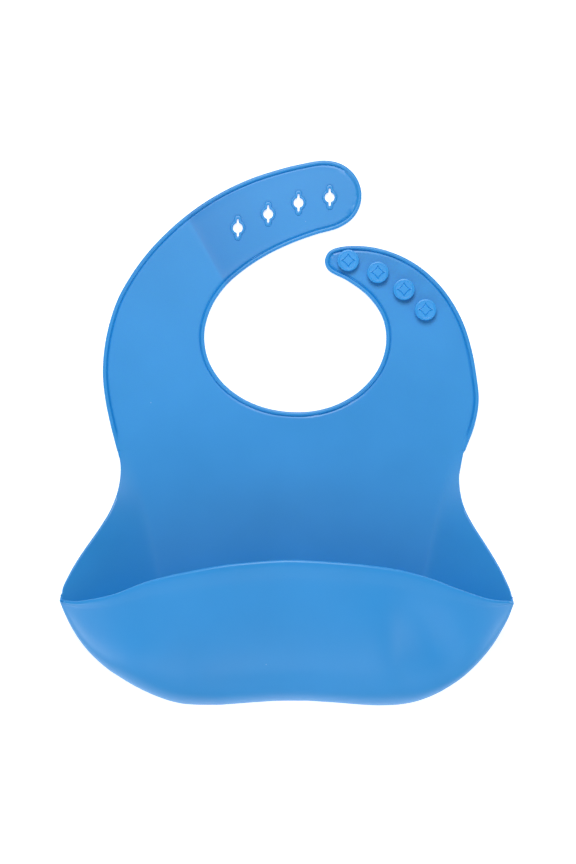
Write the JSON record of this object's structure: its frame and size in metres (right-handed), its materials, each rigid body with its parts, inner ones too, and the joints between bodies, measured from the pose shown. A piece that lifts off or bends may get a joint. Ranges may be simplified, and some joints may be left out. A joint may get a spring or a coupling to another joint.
{
  "type": "silicone baby bib",
  "caption": "One-piece soft silicone bib lying on its back, with a catch pocket, a slotted neck strap and a button neck strap.",
  "frame": {"origin": "middle of the bib's resting side: centre of its outline in plan, at the plane that the back panel lies on", "axes": "+Z out of the chest side, towards the pocket and buttons; +Y from the pocket towards the neck straps; +X towards the button strap"},
  "size_m": [0.2466, 0.2998, 0.0531],
  "materials": {
    "silicone": "matte satin moulded silicone"
  },
  "bodies": {
    "pocket_body": {"lower_panel": "silicone", "pocket_floor": "silicone", "left_gusset": "silicone", "right_gusset": "silicone"},
    "chest": {"chest_panel": "silicone", "neckline_bead": "silicone", "left_edge_bead": "silicone", "right_edge_bead": "silicone"},
    "slotted_root": {"slotted_strap_root": "silicone", "slotted_strap_root_beads": "silicone"},
    "slotted_middle": {"slotted_strap_middle": "silicone", "slotted_strap_middle_beads": "silicone", "keyhole_collar_1": "silicone", "keyhole_collar_2": "silicone"},
    "slotted_tip": {"slotted_strap_tip": "silicone", "slotted_strap_tip_bead": "silicone", "keyhole_collar_3": "silicone", "keyhole_collar_4": "silicone"},
    "button_root": {"button_strap_root": "silicone", "button_strap_root_beads": "silicone", "button_3": "silicone", "button_4": "silicone"},
    "button_tip": {"button_strap_tip": "silicone", "button_strap_tip_bead": "silicone", "button_1": "silicone", "button_2": "silicone"},
    "pocket_front": {"pocket_front": "silicone", "pocket_rim": "silicone", "left_corner_fold": "silicone", "right_corner_fold": "silicone"}
  },
  "joints": [
    {"name": "waist_fold", "type": "hinge", "parent": "pocket_body", "child": "chest", "pos_m": [0.0025, -0.00499, 0.00081], "axis": [1, 0, 0], "range_deg": [-45, 60], "stiffness_Nm_per_rad": 0.003},
    {"name": "slotted_shoulder_bend", "type": "hinge", "parent": "chest", "child": "slotted_root", "pos_m": [-0.0735, 0.04416, 0.00081], "axis": [0.9685, 0.2488, 0], "range_deg": [-75, 75], "stiffness_Nm_per_rad": 0.0015},
    {"name": "slotted_step_bend", "type": "hinge", "parent": "slotted_root", "child": "slotted_middle", "pos_m": [-0.0451, 0.10146, 0.00081], "axis": [0.5005, -0.8657, 0], "range_deg": [-60, 60], "stiffness_Nm_per_rad": 0.0012},
    {"name": "slotted_tip_bend", "type": "hinge", "parent": "slotted_middle", "child": "slotted_tip", "pos_m": [-0.0022, 0.12441, 0.00081], "axis": [0.3424, -0.9395, 0], "range_deg": [-50, 50], "stiffness_Nm_per_rad": 0.001},
    {"name": "button_shoulder_bend", "type": "hinge", "parent": "chest", "child": "button_root", "pos_m": [0.07925, 0.04756, 0.00081], "axis": [0.9899, -0.1419, 0], "range_deg": [-75, 75], "stiffness_Nm_per_rad": 0.0015},
    {"name": "button_tip_bend", "type": "hinge", "parent": "button_root", "child": "button_tip", "pos_m": [0.0577, 0.08536, 0.00081], "axis": [0.5473, 0.8369, 0], "range_deg": [-60, 45], "stiffness_Nm_per_rad": 0.0008},
    {"name": "pocket_front_bend", "type": "hinge", "parent": "pocket_body", "child": "pocket_front", "pos_m": [0, -0.14789, 0.01651], "axis": [1, 0, 0], "range_deg": [-25, 15], "stiffness_Nm_per_rad": 0.25, "deforming": ["left_gusset", "right_gusset"]}
  ]
}
